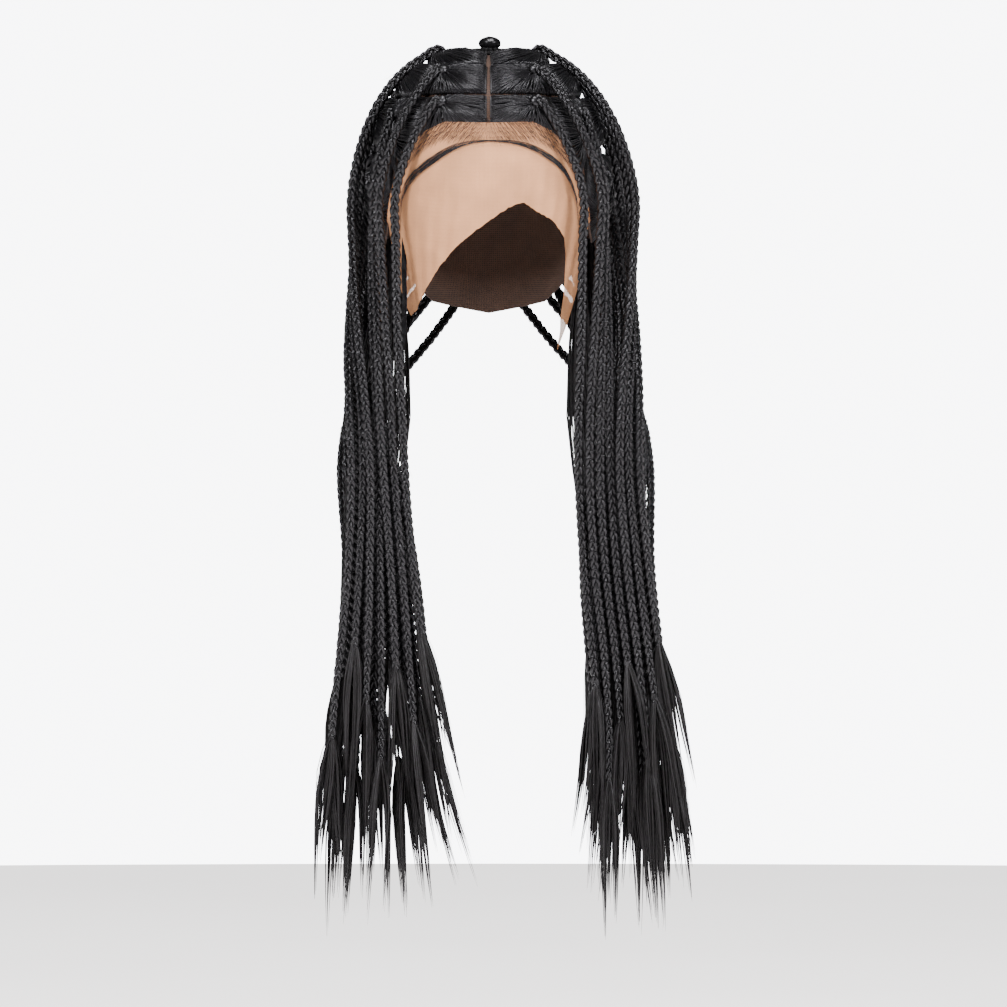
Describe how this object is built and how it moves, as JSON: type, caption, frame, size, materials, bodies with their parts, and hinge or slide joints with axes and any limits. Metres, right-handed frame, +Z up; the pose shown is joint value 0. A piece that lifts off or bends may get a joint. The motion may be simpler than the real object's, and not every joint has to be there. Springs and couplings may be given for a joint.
{
  "type": "braid wig",
  "caption": "Long box-braid wig on a full lace cap, worn form, with a centre part, uncut sheer front lace and loose hair ends.",
  "frame": {"origin": "the seat of the wig: the inner top of the cap, which rests on the crown of the head", "axes": "+Z up, -Y the way the face looks, +X the wearer's left"},
  "size_m": [0.2623, 0.2099, 0.6314],
  "materials": {
    "cap_lace": "matte brown lace net",
    "sheer_lace": "sheer uncut lace net",
    "scalp_hair": "combed hair with a soft gloss",
    "braided_hair": "braided fibre hair, satin"
  },
  "bodies": {
    "root": {"lace_cap": "cap_lace", "front_lace": "sheer_lace", "hair_panel_top": "scalp_hair", "hair_panel_right_crown": "scalp_hair", "hair_panel_right_upper": "scalp_hair", "hair_panel_right_middle": "scalp_hair", "hair_panel_right_side": "scalp_hair", "hair_panel_right_behind_ear": "scalp_hair", "hair_panel_right_nape": "scalp_hair", "hair_panel_left_crown": "scalp_hair", "hair_panel_left_upper": "scalp_hair", "hair_panel_left_middle": "scalp_hair", "hair_panel_left_side": "scalp_hair", "hair_panel_left_behind_ear": "scalp_hair", "hair_panel_left_nape": "scalp_hair", "braid_right_01": "braided_hair", "braid_right_02": "braided_hair", "braid_right_03": "braided_hair", "braid_right_04": "braided_hair", "braid_right_05": "braided_hair", "braid_right_06": "braided_hair", "braid_right_07": "braided_hair", "braid_right_08": "braided_hair", "braid_right_09": "braided_hair", "braid_right_10": "braided_hair", "braid_right_11": "braided_hair", "braid_right_12": "braided_hair", "braid_right_13": "braided_hair", "braid_right_14": "braided_hair", "braid_right_15": "braided_hair", "braid_right_16": "braided_hair", "braid_right_17": "braided_hair", "braid_right_18": "braided_hair", "braid_right_19": "braided_hair", "braid_right_20": "braided_hair", "braid_right_21": "braided_hair", "braid_right_22": "braided_hair", "braid_left_01": "braided_hair", "braid_left_02": "braided_hair", "braid_left_03": "braided_hair", "braid_left_04": "braided_hair", "braid_left_05": "braided_hair", "braid_left_06": "braided_hair", "braid_left_07": "braided_hair", "braid_left_08": "braided_hair", "braid_left_09": "braided_hair", "braid_left_10": "braided_hair", "braid_left_11": "braided_hair", "braid_left_12": "braided_hair", "braid_left_13": "braided_hair", "braid_left_14": "braided_hair", "braid_left_15": "braided_hair", "braid_left_16": "braided_hair", "braid_left_17": "braided_hair", "braid_left_18": "braided_hair", "braid_left_19": "braided_hair", "braid_left_20": "braided_hair", "braid_left_21": "braided_hair", "braid_left_22": "braided_hair", "braid_left_23": "braided_hair"}
  },
  "joints": []
}
